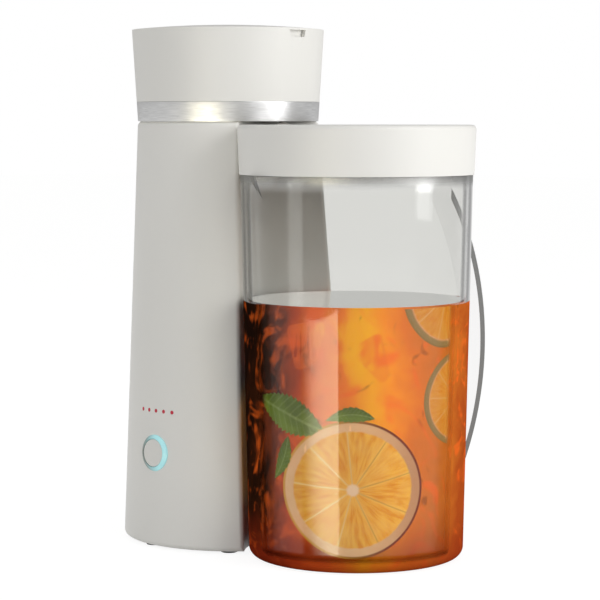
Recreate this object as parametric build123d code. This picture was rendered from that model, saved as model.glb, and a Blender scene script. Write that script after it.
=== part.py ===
from build123d import *
import os
from math import asin, cos, degrees, hypot, radians, sin, sqrt

# Iced tea maker: a tapered tower that heats and brews, and a clear pitcher docked in its side.
# Millimetres, +Z up. +X runs from the tower to the pitcher, -Y is the front.
# Everything is placed from the axis of the tower's head; export moves it to the middle of the base.

# ---------------------------------------------------------------- driving dimensions: pitcher
pitcher_x = 102.1          # distance from the head's axis to the pitcher's axis
jug_base_r = 61.3          # outer radius at the table
jug_shoulder_z = 217.7     # where the lid's skirt meets the wall
jug_shoulder_r = 66.0      # outer radius there
jug_wall = 2.8
jug_floor = 4.5            # height of the inside floor
jug_foot_hollow = 1.4      # hollow under the floor
jug_foot_r = 51.0          # radius of that hollow
jug_edge_round = 6.0       # rounded bottom edge
jug_inner_round = 5.0
rim_height = 11.3          # rim that stands inside the lid's skirt
rim_wall = 1.4
spout_turn = -13.0         # direction of the pouring lip, from the front
spout_reach = 4.4          # how far the lip stands out
spout_half_width = 17.0
spout_drop = 14.0          # height of the V below the shoulder
spout_wall = 1.8
handle_turn = 172.0        # direction of the handle, from the front
handle_reach = 93.3        # outer face of the bow, from the pitcher's axis
handle_bow_r = 164.0
handle_mid_z = 118.0
handle_t = 4.0
handle_w = 18.0
tea_level = 147.0

# ---------------------------------------------------------------- driving dimensions: pitcher lid
soft_gap = 0.3             # clearance between pieces that move apart
cap_height = 28.0
cap_skirt_r = 66.7
cap_top_r = 67.8
cap_wall = 1.8
cap_top_t = 2.0
cap_edge_round = 2.5
cap_ring_wall = 1.5        # inner ring with the strainer
cap_ring_depth = 24.0
gasket_t = 1.0
inlet_r = 4.6              # hole that the tea drips into
inlet_beam = 1.6           # bar across it, which lifts the drip valve
inlet_beam_rise = 0.6
strainer_slots = 8
strainer_slot_w = 1.5
strainer_slot_h = 8.0
strainer_pitch = 4.2       # degrees from slot to slot
pour_twist = 50.0          # turn that brings the strainer to the lip

# ---------------------------------------------------------------- driving dimensions: tower
foot_h = 1.2
base_r = 67.6
base_shift = 6.5           # the base stands this far towards the pitcher
waist_r = 53.8
dock_gap = 2.9             # space between the pitcher's wall and the tower's hollow
cap_gap = 1.9              # space between the pitcher lid and the head
tower_wall = 2.6
horn_round = 3.0           # rounded edges of the hollow
deck_t = 3.0               # plate that closes the tower housing's top
deck_lip = 1.3             # skin left round the deck's seat
deck_fit = 0.1
band_h = 11.5
band_t = 0.8
band_top_r = 54.5
head_h = 41.3
head_top_r = 57.0
head_wall = 2.4
head_floor_t = 2.5

# ---------------------------------------------------------------- driving dimensions: head lid
lid_edge_t = 1.2
lid_crown = 2.8
lid_t = 2.0
lid_skirt_gap = 0.6
lid_skirt_t = 1.8
lid_skirt_depth = 4.0
liner_t = 1.6
hinge_out = 2.0            # pin axis outside the head's wall
hinge_down = 1.4           # pin axis below the rim
knuckle_r = 2.6
hinge_pin_r = 1.2
hinge_fit = 0.06
lid_knuckle_w = 14.0
ear_w = 5.0
notch_w_top = 14.0
notch_w_bottom = 11.5
notch_depth = 4.0
scoop_r = 23.0             # ball that cuts the shallow scoop under the notch
scoop_depth = 0.8

# ---------------------------------------------------------------- driving dimensions: base and screws
plate_t = 3.0
plate_gap = 0.3
foot_r = 4.8
foot_inset = 3.9           # foot's edge to the skin
foot_seat = 1.5            # depth of its seat in the plate
foot_turns = (40, 140, 191, 270, 349)
base_screw_turns = (15, 165, 230, 310)
base_screw_inset = 7.1     # screw axis to the skin
screw_r = 1.5
screw_head_r = 2.5
screw_head_h = 1.9
base_boss_r = 4.0
base_boss_h = 22.0
boss_rib_w = 2.4
boss_rib_seat = 0.5        # how far a boss's rib goes into the wall
base_screw_l = 14.0

# ---------------------------------------------------------------- driving dimensions: water path
tank_bottom_z = 96.0
tank_wall = 2.0
tank_space = 5.5           # between the tank and the housing
tank_flange_gap = 0.5
tank_flange_t = 2.5
tank_gasket_t = 2.0
tank_screw_spots = ((-23.6, 42.5), (-0.5, -48.8), (-48.4, -6.0))
hose_in_r = 4.2
hose_wall = 2.0
tube_wall = 1.0
riser_seal_r = 6.5
riser_clear = 3.2          # riser's seal to the head's wall
riser_neck_gap = 1.7       # riser to the neck's wall
riser_turn = 20.9          # direction of the risers, from -X
hose_bend_r = 11.0
hose_overlap = 8.0         # how far a hose goes over a tube or barb
valve_body_r = 7.0
valve_bottom_z = 52.0
valve_body_h = 14.0
tank_outlet_z = 78.0       # lower end of the tank's outlet
riser_start_z = 56.0
riser_top_z = 293.5
riser_slot_gap = 2.3
riser_seal_low = 2.5

# ---------------------------------------------------------------- driving dimensions: heater
heater_z = 22.0            # underside of the casting
heater_h = 24.0
heater_leg_w = 15.0
heater_bend_x = 5.0
heater_leg_x = -24.0
heater_tube_x = -30.5      # ends of the water tube
heater_tube_up = 8.5       # tube's height in the casting
rod_r = 3.2
rod_up = 16.5
rod_end_x = -24.0
pin_r = 1.2
pin_l = 5.0
pad_h = 2.0
post_r = 4.0
post_spots = ((-16.0, 16.0), (-16.0, -16.0), (21.0, 0.0))
heater_screw_l = 24.0
thermostat_r = 6.5
thermostat_h = 8.0
fuse_r = 2.2
fuse_l = 14.0

# ---------------------------------------------------------------- driving dimensions: front controls
button_z = 55.5
controls_x = 2.5
button_r = 8.05
button_rise = 1.3
button_cap_t = 2.5
button_stem_r = 3.0
button_travel = 1.2
ring_r = 10.6
ring_flange_r = 12.6
ring_flange_back = 4.2
ring_flange_t = 1.0
ring_bevel_base = 0.2
guide_half = 13.0
guide_t = 2.2
guide_post_r = 1.8
run_fit = 0.06
switch_half = 3.5
switch_h = 4.0
plunger_r = 1.5
plunger_out = 1.2
board_depth = 14.4         # board's face behind the skin
board_t = 1.6
board_half_w = 17.0
board_low = 18.0
board_high = 36.0
board_screw_y = (-14.0, 31.5)
board_screw_x = 13.5
board_boss_r = 2.6
board_screw_r = 1.1
board_screw_l = 6.0
led_up = 24.6
led_step = 6.2
led_r = 1.1
led_count = 5
led_fit = 0.05

# ---------------------------------------------------------------- driving dimensions: cord inlet
cord_z = 20.0
cord_bore_r = 3.6
grommet_r = 5.5
grommet_flange_r = 7.6
grommet_flange_t = 1.6
grommet_tail = 6.0
terminal_l, terminal_w, terminal_h = 20.0, 11.0, 12.0

# ---------------------------------------------------------------- driving dimensions: brewing
basket_x = 13.0
well_r = 37.8
well_wall = 1.8
well_top_z = 286.5
basket_top_r = 36.6
basket_bottom_r = 24.0
basket_bottom_z = 260.0
basket_wall = 1.6
basket_rim_r = 39.2
basket_rim_t = 1.8
basket_tab_w = 12.0
basket_tab_h = 5.5
basket_hole_r = 1.5
screen_t = 0.6
screen_hole_r = 0.9
fill_r = 41.5              # outer radius of the fill opening
fill_from, fill_to = 172.0, 245.0
fill_collar_t = 1.2
fill_collar_drop = 8.0
head_screw_spots = ((-14.0, 44.0), (10.0, 46.3), (10.0, -46.3), (-13.5, -45.0))
head_screw_head_r = 2.2
nozzle_x = 44.4
nozzle_r = 4.4
nozzle_bore_r = 3.0
nozzle_flange_r = 6.0
nozzle_flange_t = 1.0
spider_t = 1.2
spider_hub_r = 2.4
spider_bar = 1.0
stem_r = 1.3
valve_disc_r = 4.2
valve_disc_t = 1.2
valve_lift = 2.0
nose_r = 2.0
nose_h = 0.8
spring_in_r, spring_out_r, spring_h = 1.9, 2.5, 4.0
cage_wall = 1.0
cage_window = 3.0

# ---------------------------------------------------------------- driving dimensions: contents
view_turn = 42.8           # direction that the big slice faces, from the front
slice_r = 38.4
slice_t = 6.0
slice_z = 46.7
slice_off = -3.3
side_slices = ((95.0, 153.0, 30.0), (105.0, 94.0, 26.0), (207.0, 70.0, 34.0), (300.0, 60.0, 33.0))
leaf_places = ((-1.0, 87.0, 38.0, 19.0, -19.0), (38.0, 90.2, 26.0, 8.5, 3.0), (-5.0, 61.0, 24.0, 8.0, 72.0))
leaf_t = 1.6
leaf_gap = 0.2
ice_size = 25.0
ice_round = 3.5
ice_spots = ((14, 127, 12), (-28, 116, 40), (50, 121, 30), (142, 126, 20), (152, 91, 50),
             (134, 44, 10), (230, 124, 35), (275, 124, 15))

# ---------------------------------------------------------------- derived places
waist_z = jug_shoulder_z + soft_gap + cap_height + cap_gap
band_top_z = waist_z + band_h
rim_z = band_top_z + head_h
deck_z = waist_z - deck_t
neck_r = waist_r - band_t
neck_top_r = band_top_r - band_t
neck_in_r = neck_r - head_wall + 0.2
floor_top_z = waist_z + head_floor_t
jug_slope = (jug_shoulder_r - jug_base_r) / jug_shoulder_z
skin_run = waist_z - foot_h
cap_bottom_z = jug_shoulder_z + soft_gap
cap_top_z = cap_bottom_z + cap_height
rim_top_z = jug_shoulder_z + rim_height
mouth_r = jug_shoulder_r - jug_wall
riser_dist = min(head_top_r - head_wall - riser_seal_r - riser_clear, neck_in_r - hose_in_r - riser_neck_gap)
hose_x = -riser_dist * cos(radians(riser_turn))
hose_y = riser_dist * sin(radians(riser_turn))
hinge_x = -(head_top_r + hinge_out)
hinge_z = rim_z - hinge_down


# ---------------------------------------------------------------- shapes used all over
def rod(r, z0, z1, x=0.0, y=0.0):
    """Upright cylinder from z0 to z1."""
    return Pos(x, y, (z0 + z1) / 2) * Cylinder(r, z1 - z0)


def tube(r_out, r_in, z0, z1, x=0.0, y=0.0):
    """Upright tube from z0 to z1."""
    return rod(r_out, z0, z1, x, y) - rod(r_in, z0 - 1, z1 + 1, x, y)


def block(x0, x1, y0, y1, z0, z1):
    """Box between two corners."""
    return Pos((x0 + x1) / 2, (y0 + y1) / 2, (z0 + z1) / 2) * Box(x1 - x0, y1 - y0, z1 - z0)


def frustum(z0, r0, z1, r1, x=0.0):
    """Upright cone from radius r0 at z0 to r1 at z1."""
    return Pos(x, 0, (z0 + z1) / 2) * Cone(r0, r1, z1 - z0)


def turned(*points):
    """Solid of revolution of a closed outline of (radius, height) points."""
    return revolve(Plane.XZ * make_face(Polyline(*points, close=True)), Axis.Z)


def lying(r, x0, x1, y, z):
    """Cylinder along X."""
    return Pos((x0 + x1) / 2, y, z) * Rot(0, 90, 0) * Cylinder(r, x1 - x0)


def across(r, y0, y1, x, z):
    """Cylinder along Y."""
    return Pos(x, (y0 + y1) / 2, z) * Rot(90, 0, 0) * Cylinder(r, y1 - y0)


def facing(turn):
    """Rotation that carries +X to a direction counted from the front (-Y) towards +X."""
    return Rot(0, 0, turn - 90)


def spot(turn, r):
    """Point at radius r in a direction counted from the front."""
    return r * sin(radians(turn)), -r * cos(radians(turn))


# ---------------------------------------------------------------- tower skin
def skin_r(z):
    return base_r + (waist_r - base_r) * (z - foot_h) / skin_run


def skin_x(z):
    return base_shift * (1 - (z - foot_h) / skin_run)


def jug_r(z):
    return jug_base_r + jug_slope * z


def leaning(z0, z1, inset):
    """The tower's leaning cone, moved inwards by inset."""
    low = Pos(skin_x(z0), 0, z0) * Circle(skin_r(z0) - inset)
    high = Pos(skin_x(z1), 0, z1) * Circle(skin_r(z1) - inset)
    return loft([low, high], ruled=True)


def dock(z0, z1, inset):
    """The hollow that the pitcher stands in, grown by inset."""
    grow = dock_gap + inset
    return frustum(z0, jug_r(z0) + grow, z1, jug_r(z1) + grow, pitcher_x)


def tower_core(z0, z1, inset):
    """The tower's outline between two heights, moved inwards by inset."""
    return leaning(z0, z1, inset) - dock(z0 - 1, z1 + 1, inset)


def front_plane():
    """Plane on the front skin at the power button, facing outwards."""
    dx = controls_x - skin_x(button_z)
    r = skin_r(button_z)
    y = -sqrt(r * r - dx * dx)
    slope = (base_r - waist_r) / skin_run
    drift = base_shift / skin_run
    out = Vector(dx, y, dx * drift + r * slope).normalized()
    side = Vector(-out.Y, out.X, 0).normalized()
    return Plane(origin=(controls_x, y, button_z), x_dir=side, z_dir=out)


def back_plane():
    """Plane on the back skin at the cord grommet, facing outwards."""
    r = skin_r(cord_z)
    out = Vector(0, 1, (base_r - waist_r) / skin_run).normalized()
    return Plane(origin=(skin_x(cord_z), r, cord_z), x_dir=(-1, 0, 0), z_dir=out)


front = front_plane().location
back = back_plane().location
tower_block = tower_core(foot_h, waist_z, 0)
tower_block = fillet([e for e in tower_block.edges() if e.length > skin_run - 10], horn_round)


# ---------------------------------------------------------------- tower housing and head
def base_spot(turn, inset):
    x, y = spot(turn, base_r - inset)
    return base_shift + x, y


def fill_sector(r_out, r_well, z0, z1, margin):
    """Crescent between the basket's well and the head's wall, on the side of the hinge."""
    ring = rod(r_out, z0, z1) - rod(r_well, z0 - 1, z1 + 1, basket_x)
    low = Rot(0, 0, fill_from) * block(0, base_r, -margin, base_r, z0 - 1, z1 + 1)
    high = Rot(0, 0, fill_to) * block(0, base_r, -base_r, margin, z0 - 1, z1 + 1)
    return ring & low & high


def fill_hole(z0, z1, grow):
    edge = well_r + well_wall + fill_collar_t + 0.6
    return fill_sector(fill_r + grow, edge - grow, z0, z1, grow)


def deck_outline(z0, z1, inset):
    """Outline of the deck plate, with its two horns rounded."""
    plate = tower_core(z0, z1, inset)
    return fillet([e for e in plate.edges() if abs(e.length - (z1 - z0)) < deck_fit], horn_round)


def tower_shell():
    shell = tower_block - tower_core(foot_h - 1, deck_z + 1, tower_wall) - deck_outline(deck_z, waist_z + 1, deck_lip)
    bosses = []
    plate_top = foot_h + plate_t
    for turn in base_screw_turns:
        x, y = base_spot(turn, base_screw_inset)
        rib = block(base_r - base_screw_inset, base_r, -boss_rib_w / 2, boss_rib_w / 2, plate_top, plate_top + base_boss_h)
        bosses.append(rod(base_boss_r, plate_top, plate_top + base_boss_h, x, y) + Pos(base_shift, 0, 0) * facing(turn) * rib)
    for u in (-board_screw_x, board_screw_x):
        for v in board_screw_y:
            bosses.append(front * rod(board_boss_r, -board_depth, 0, u, v))
    seated = tower_core(foot_h, deck_z, tower_wall - boss_rib_seat)
    shell += [b & seated for b in bosses]
    for turn in base_screw_turns:
        x, y = base_spot(turn, base_screw_inset)
        shell -= rod(screw_r, foot_h, foot_h + base_screw_l, x, y)
    for u in (-board_screw_x, board_screw_x):
        for v in board_screw_y:
            shell -= front * rod(board_screw_r, -board_depth - 1, -board_depth + board_screw_l, u, v)
    shell -= front * rod(ring_r + led_fit, -ring_flange_back - 1, 6)
    for x in led_places():
        shell -= front * rod(led_r + led_fit, -board_depth + 1, 4, x, led_up)
    return shell - back * rod(grommet_r, -12, 6)


def tower_deck():
    """Plate in the housing's rebate that carries the head above and the tank below."""
    deck = deck_outline(deck_z, waist_z, deck_lip + deck_fit)
    deck -= fill_hole(deck_z - 1, waist_z + 1, fill_collar_t + soft_gap)
    deck -= rod(hose_in_r + soft_gap, deck_z - 1, waist_z + 1, hose_x, hose_y)
    for x, y in head_screw_spots:
        deck -= rod(screw_r, deck_z - 1, waist_z + 1, x, y)
    for x, y in tank_screw_spots:
        deck -= rod(screw_r, deck_z - 1, deck_z + deck_t - 0.6, x, y)
    return deck


def metal_band():
    return turned((neck_r, waist_z), (waist_r, waist_z), (band_top_r, band_top_z), (neck_top_r, band_top_z))


def hinge_ears():
    """Two ears on the head's back edge that carry the hinge pin."""
    ears = []
    for side in (-1, 1):
        y0 = side * (lid_knuckle_w / 2 + soft_gap)
        y1 = y0 + side * ear_w
        low, high = min(y0, y1), max(y0, y1)
        reach = hinge_x + hinge_out + head_wall / 2
        web = block(hinge_x, reach, low, high, hinge_z - 2 * knuckle_r, hinge_z)
        web -= block(hinge_x - 1, hinge_x + knuckle_r / 2, low - 1, high + 1, hinge_z - 9, hinge_z - knuckle_r)
        ears.append(across(knuckle_r, low, high, hinge_x, hinge_z) + web)
    return ears


def rim_notch():
    """Notch in the rim for a finger, and the shallow scoop under it."""
    top, bottom, low = notch_w_top / 2, notch_w_bottom / 2, rim_z - notch_depth
    outline = Polyline((-top, rim_z + 1), (top, rim_z + 1), (bottom, low), (-bottom, low), close=True)
    notch = extrude(Plane.YZ.offset(head_top_r - 8) * make_face(outline), 16)
    scoop = Pos(head_top_r + scoop_r - scoop_depth, 0, low - 1.5) * Sphere(scoop_r)
    return notch, scoop & block(head_top_r - 3, head_top_r + 3, -top, top, low - 8, low + 1)


def head_housing():
    slope = (head_top_r - band_top_r) / head_h
    head = turned((0, waist_z), (neck_r, waist_z), (neck_top_r, band_top_z), (band_top_r, band_top_z),
                  (head_top_r, rim_z), (head_top_r - head_wall, rim_z),
                  (band_top_r - head_wall - slope * 6, band_top_z), (neck_in_r, floor_top_z), (0, floor_top_z))
    well = tube(well_r + well_wall, well_r, floor_top_z, well_top_z, basket_x)
    head += well & frustum(waist_z, neck_r - 0.5, rim_z, head_top_r - 0.5)
    collar = fill_hole(deck_z - fill_collar_drop, floor_top_z, fill_collar_t)
    head += collar
    head -= fill_hole(deck_z - fill_collar_drop - 1, floor_top_z + 1, 0)
    head += hinge_ears()
    head -= across(hinge_pin_r, -lid_knuckle_w, lid_knuckle_w, hinge_x, hinge_z)
    head -= across(knuckle_r + soft_gap, -lid_knuckle_w / 2 - soft_gap, lid_knuckle_w / 2 + soft_gap,
                   hinge_x, hinge_z)
    notch, scoop = rim_notch()
    head = head - notch - scoop
    head -= rod(nozzle_r, waist_z - 1, floor_top_z + 1, nozzle_x)
    head -= rod(hose_in_r, waist_z - 1, floor_top_z + 1, hose_x, hose_y)
    for x, y in head_screw_spots:
        head -= rod(screw_r, waist_z - 1, floor_top_z + 1, x, y)
    return head


def head_screws():
    tip = deck_z + 0.4
    return [rod(screw_r, tip, floor_top_z, x, y) + rod(head_screw_head_r, floor_top_z, floor_top_z + screw_head_h, x, y)
            for x, y in head_screw_spots]


# ---------------------------------------------------------------- head lid
def dome(r, rise, z):
    """Shallow dome on a disc of radius r at height z."""
    ball = (r * r + rise * rise) / (2 * rise)
    return Pos(0, 0, z + rise - ball) * Sphere(ball) & rod(r, z, z + rise + 1)


def head_lid():
    skirt_r = head_top_r - head_wall - lid_skirt_gap
    inner_r = skirt_r - lid_skirt_t
    edge_z = rim_z + lid_edge_t
    low = rim_z - lid_skirt_depth
    lid = rod(head_top_r, rim_z, edge_z) + dome(head_top_r, lid_crown, edge_z) + rod(skirt_r, low, rim_z)
    lid -= rod(inner_r, low - 1, edge_z - lid_t + lid_edge_t)
    lid -= dome(inner_r, lid_crown, edge_z - lid_t + lid_edge_t)
    reach = lid_knuckle_w / 2 + soft_gap + ear_w + 1
    lid -= across(knuckle_r + soft_gap, -reach, reach, hinge_x, hinge_z)
    half = lid_knuckle_w / 2
    web = block(hinge_x, hinge_x + hinge_out + head_wall, -half, half, rim_z + 0.1, edge_z + 0.4)
    lid += across(knuckle_r, -half, half, hinge_x, hinge_z) + web
    return lid - across(hinge_pin_r + hinge_fit, -reach, reach, hinge_x, hinge_z)


def hinge_pin():
    half = lid_knuckle_w / 2 + soft_gap + ear_w
    return across(hinge_pin_r, -half, half, hinge_x, hinge_z)


def spray_plate():
    """Inner plate of the head lid: one hole over the riser, and spray holes over the basket."""
    r = head_top_r - head_wall - lid_skirt_gap - lid_skirt_t
    low = rim_z - lid_skirt_depth
    plate = rod(r, low, low + liner_t)
    plate -= rod(hose_in_r - 0.4, low - 1, low + liner_t + 1, hose_x, hose_y)
    holes = [rod(1.0, low - 1, low + liner_t + 1, basket_x)]
    for count, radius in ((6, 8.0), (12, 16.0)):
        for i in range(count):
            x, y = spot(360 / count * i, radius)
            holes.append(rod(1.0, low - 1, low + liner_t + 1, basket_x + x, y))
    return plate - holes


# ---------------------------------------------------------------- brewing
def basket_floor_holes(r, z0, z1):
    holes = [rod(r, z0, z1, basket_x)]
    for count, radius in ((6, 7.0), (12, 14.0)):
        for i in range(count):
            x, y = spot(360 / count * i, radius)
            holes.append(rod(r, z0, z1, basket_x + x, y))
    return holes


def brew_basket():
    outer = frustum(basket_bottom_z, basket_bottom_r, well_top_z, basket_top_r, basket_x)
    outer += rod(basket_rim_r, well_top_z, well_top_z + basket_rim_t, basket_x)
    inner = frustum(basket_bottom_z + basket_wall, basket_bottom_r - basket_wall, well_top_z,
                    basket_top_r - basket_wall, basket_x)
    inner += rod(basket_top_r - basket_wall, well_top_z, well_top_z + 9, basket_x)
    basket = outer - inner
    top = well_top_z + basket_rim_t
    for side in (-1, 1):
        y = side * (basket_rim_r - 1.9)
        tab = block(basket_x - basket_tab_w / 2, basket_x + basket_tab_w / 2, y - 0.8, y + 0.8, top, top + basket_tab_h)
        basket += tab
    return basket - basket_floor_holes(basket_hole_r, basket_bottom_z - 1, basket_bottom_z + basket_wall + 1)


def filter_screen():
    low = basket_bottom_z + basket_wall
    screen = rod(basket_bottom_r - basket_wall, low, low + screen_t, basket_x)
    holes = [rod(screen_hole_r, low - 1, low + screen_t + 1, basket_x)]
    for count, radius in ((6, 5.0), (12, 10.0), (18, 15.0), (24, 19.5)):
        for i in range(count):
            x, y = spot(360 / count * i, radius)
            holes.append(rod(screen_hole_r, low - 1, low + screen_t + 1, basket_x + x, y))
    return screen - holes


def outlet_nozzle():
    body = rod(nozzle_r, waist_z, floor_top_z, nozzle_x)
    body += rod(nozzle_flange_r, floor_top_z, floor_top_z + nozzle_flange_t, nozzle_x)
    body -= rod(nozzle_bore_r, waist_z - 1, floor_top_z + 2, nozzle_x)
    z0 = waist_z + 0.9
    spider = rod(spider_hub_r, z0, z0 + spider_t, nozzle_x)
    half = nozzle_bore_r + 0.5
    spider += block(nozzle_x - half, nozzle_x + half, -spider_bar / 2, spider_bar / 2, z0, z0 + spider_t)
    body += spider & rod(nozzle_bore_r + 0.2, z0, z0 + spider_t, nozzle_x)
    return body - rod(stem_r + run_fit, waist_z - 1, floor_top_z + 2, nozzle_x)


seat_z = floor_top_z + nozzle_flange_t
disc_z = seat_z + valve_lift
spring_z = disc_z + valve_disc_t
cage_top_z = spring_z + spring_h
nose_z = cap_top_z + inlet_beam_rise + soft_gap


def drip_valve():
    valve = rod(stem_r, nose_z, spring_z + spring_h / 2, nozzle_x)
    valve += rod(nose_r, nose_z, nose_z + nose_h, nozzle_x)
    return valve + rod(valve_disc_r, disc_z, spring_z, nozzle_x)


def valve_spring():
    return tube(spring_out_r, spring_in_r, spring_z, cage_top_z, nozzle_x)


def valve_cage():
    cage = tube(nozzle_flange_r, nozzle_flange_r - cage_wall, seat_z, cage_top_z, nozzle_x)
    cage += rod(nozzle_flange_r, cage_top_z, cage_top_z + cage_wall, nozzle_x)
    for turn in (45, 135):
        window = Rot(0, 0, turn) * block(-9, 9, -cage_window / 2, cage_window / 2, 0, valve_lift + 1.6)
        cage -= Pos(nozzle_x, 0, seat_z + 0.5) * window
    return cage


# ---------------------------------------------------------------- base
def base_plate():
    top = foot_h + plate_t
    plate = tower_core(foot_h, top, tower_wall + plate_gap)
    plate += [rod(post_r, top, heater_z - pad_h, x, y) for x, y in post_spots]
    for turn in foot_turns:
        x, y = base_spot(turn, foot_r + foot_inset)
        plate -= rod(foot_r, foot_h - 1, foot_h + foot_seat, x, y)
    for turn in base_screw_turns:
        x, y = base_spot(turn, base_screw_inset)
        plate -= rod(screw_r, foot_h - 1, top + 1, x, y)
        plate -= rod(screw_head_r, foot_h - 1, foot_h + screw_head_h, x, y)
    for x, y in post_spots:
        plate -= rod(screw_r, foot_h - 1, heater_z, x, y)
        plate -= rod(screw_head_r, foot_h - 1, foot_h + screw_head_h, x, y)
    return plate


def rubber_feet():
    feet = []
    for turn in foot_turns:
        x, y = base_spot(turn, foot_r + foot_inset)
        feet.append(rod(foot_r, 0, foot_h + foot_seat, x, y))
    return feet


def screw_up(x, y, z, length):
    """Pan-head screw whose head starts at z."""
    return rod(screw_head_r, z, z + screw_head_h, x, y) + rod(screw_r, z + screw_head_h, z + length, x, y)


def base_screws():
    return [screw_up(*base_spot(turn, base_screw_inset), foot_h, base_screw_l) for turn in base_screw_turns]


# ---------------------------------------------------------------- water path
def riser_slot(grow):
    """Channel in the tank's side for the riser tube."""
    r = hose_in_r + riser_slot_gap + grow
    out = degrees(asin(hose_y / hypot(hose_x, hose_y)))
    reach = Pos(hose_x, hose_y, 0) * Rot(0, 0, 180 - out) * block(0, 40, -r, r, tank_bottom_z - 30, waist_z)
    return rod(r, tank_bottom_z - 30, waist_z, hose_x, hose_y) + reach


def water_tank():
    top = deck_z - tank_gasket_t
    out = tower_wall + tank_space
    tank = tower_core(tank_bottom_z, top, out) - riser_slot(0)
    inner = tower_core(tank_bottom_z + tank_wall, top + 1, out + tank_wall) - riser_slot(tank_wall)
    flange = tower_core(top - tank_flange_t, top, tower_wall + tank_flange_gap) - riser_slot(0)
    tank = tank + flange - inner
    tank += rod(hose_in_r, tank_outlet_z, tank_bottom_z + 0.5, hose_x, -hose_y)
    tank -= rod(hose_in_r - tube_wall, tank_outlet_z - 1, tank_bottom_z + tank_wall + 1, hose_x, -hose_y)
    for x, y in tank_screw_spots:
        tank -= rod(screw_r, top - tank_flange_t - 1, top + 1, x, y)
    return tank


def tank_gasket():
    top = deck_z
    low = top - tank_gasket_t
    seal = tower_core(low, top, tower_wall + tank_flange_gap)
    seal -= tower_core(low - 1, top + 1, tower_wall + tank_space + tank_wall)
    seal -= riser_slot(0)
    for x, y in tank_screw_spots:
        seal -= rod(screw_r, low - 1, top + 1, x, y)
    return seal


def tank_screws():
    z = deck_z - tank_gasket_t - tank_flange_t - screw_head_h
    return [screw_up(x, y, z, deck_z + deck_t - 1.0 - z) for x, y in tank_screw_spots]


def bent_hose(side):
    """Hose from the heater tube's end, round one bend and up."""
    y = side * hose_y
    z = heater_z + heater_tube_up
    top = valve_bottom_z if side < 0 else riser_start_z + hose_overlap
    start = heater_leg_x
    path = FilletPolyline((start, y, z), (hose_x, y, z), (hose_x, y, top), radius=hose_bend_r)
    ring = Plane(origin=(start, y, z), z_dir=(-1, 0, 0))
    return sweep(ring * Circle(hose_in_r + hose_wall), path=path) - sweep(ring * Circle(hose_in_r), path=path)


def check_valve():
    body_top = valve_bottom_z + valve_body_h
    valve = rod(valve_body_r, valve_bottom_z, body_top, hose_x, -hose_y)
    valve += rod(hose_in_r, valve_bottom_z - hose_overlap, body_top + hose_overlap, hose_x, -hose_y)
    bore = hose_in_r - tube_wall
    return valve - rod(bore, valve_bottom_z - 20, body_top + 20, hose_x, -hose_y)


def tank_hose():
    low = valve_bottom_z + valve_body_h
    return tube(hose_in_r + hose_wall, hose_in_r, low, tank_outlet_z + hose_overlap, hose_x, -hose_y)


def riser_tube():
    return tube(hose_in_r, hose_in_r - tube_wall, riser_start_z, riser_top_z, hose_x, hose_y)


def riser_seal():
    top = rim_z - lid_skirt_depth - soft_gap
    return tube(riser_seal_r, hose_in_r, riser_top_z - riser_seal_low, top, hose_x, hose_y)


# ---------------------------------------------------------------- heater
def u_shape(r, z, x_end):
    """Round bar bent to a U, its ends at x_end."""
    bend = Pos(heater_bend_x, 0, z) * Torus(hose_y, r)
    bend &= block(heater_bend_x, heater_bend_x + 60, -60, 60, z - 20, z + 20)
    return bend + [lying(r, x_end, heater_bend_x, side * hose_y, z) for side in (-1, 1)]


tube_z = heater_z + heater_tube_up
element_z = heater_z + rod_up


def heater_casting():
    top = heater_z + heater_h
    half = heater_leg_w / 2
    casting = tube(hose_y + half, hose_y - half, heater_z, top, heater_bend_x)
    casting &= block(heater_bend_x, heater_bend_x + 60, -60, 60, heater_z - 1, top + 1)
    for side in (-1, 1):
        y = side * hose_y
        casting += block(heater_leg_x, heater_bend_x, y - half, y + half, heater_z, top)
    casting -= u_shape(hose_in_r, tube_z, heater_tube_x)
    casting -= u_shape(rod_r, element_z, rod_end_x)
    for x, y in post_spots:
        casting -= rod(screw_r, heater_z - 1, foot_h + heater_screw_l, x, y)
    return casting


def heater_tube():
    outer = u_shape(hose_in_r, tube_z, heater_tube_x)
    return outer - u_shape(hose_in_r - tube_wall, tube_z, heater_tube_x - 1)


def heating_element():
    bar = u_shape(rod_r, element_z, rod_end_x)
    return bar + [lying(pin_r, rod_end_x - pin_l, rod_end_x, side * hose_y, element_z) for side in (-1, 1)]


def heater_pads():
    return [tube(post_r, screw_r, heater_z - pad_h, heater_z, x, y) for x, y in post_spots]


def heater_screws():
    return [screw_up(x, y, foot_h, heater_screw_l) for x, y in post_spots]


def thermostat():
    z = heater_z + heater_h
    x = heater_bend_x + hose_y
    body = rod(thermostat_r, z, z + thermostat_h, x)
    return body + [block(x - 0.4, x + 0.4, s - 2.5, s + 2.5, z + thermostat_h, z + thermostat_h + 7) for s in (-3.5, 3.5)]


def thermal_fuse():
    z = heater_z + heater_h + fuse_r
    x = heater_bend_x - fuse_l
    body = lying(fuse_r, x - fuse_l / 2, x + fuse_l / 2, hose_y, z)
    return body + lying(0.6, x - fuse_l, x + fuse_l, hose_y, z)


# ---------------------------------------------------------------- front controls
def led_places():
    return [led_step * (i - (led_count - 1) / 2) for i in range(led_count)]


def light_ring():
    ring = rod(ring_r, -ring_flange_back, ring_bevel_base)
    ring += Pos(0, 0, (ring_bevel_base + button_rise) / 2) * Cone(ring_r, button_r + soft_gap + 0.1,
                                                                 button_rise - ring_bevel_base)
    ring += rod(ring_flange_r, -ring_flange_back - ring_flange_t, -ring_flange_back)
    return front * (ring - rod(button_r + soft_gap, -20, 20))


def button_cap():
    cap = rod(button_r, button_rise - button_cap_t, button_rise)
    cap = fillet(cap.edges().sort_by(Axis.Z)[-1], 0.5)
    return front * (cap + rod(button_stem_r, plunger_top, button_rise - button_cap_t))


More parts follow.
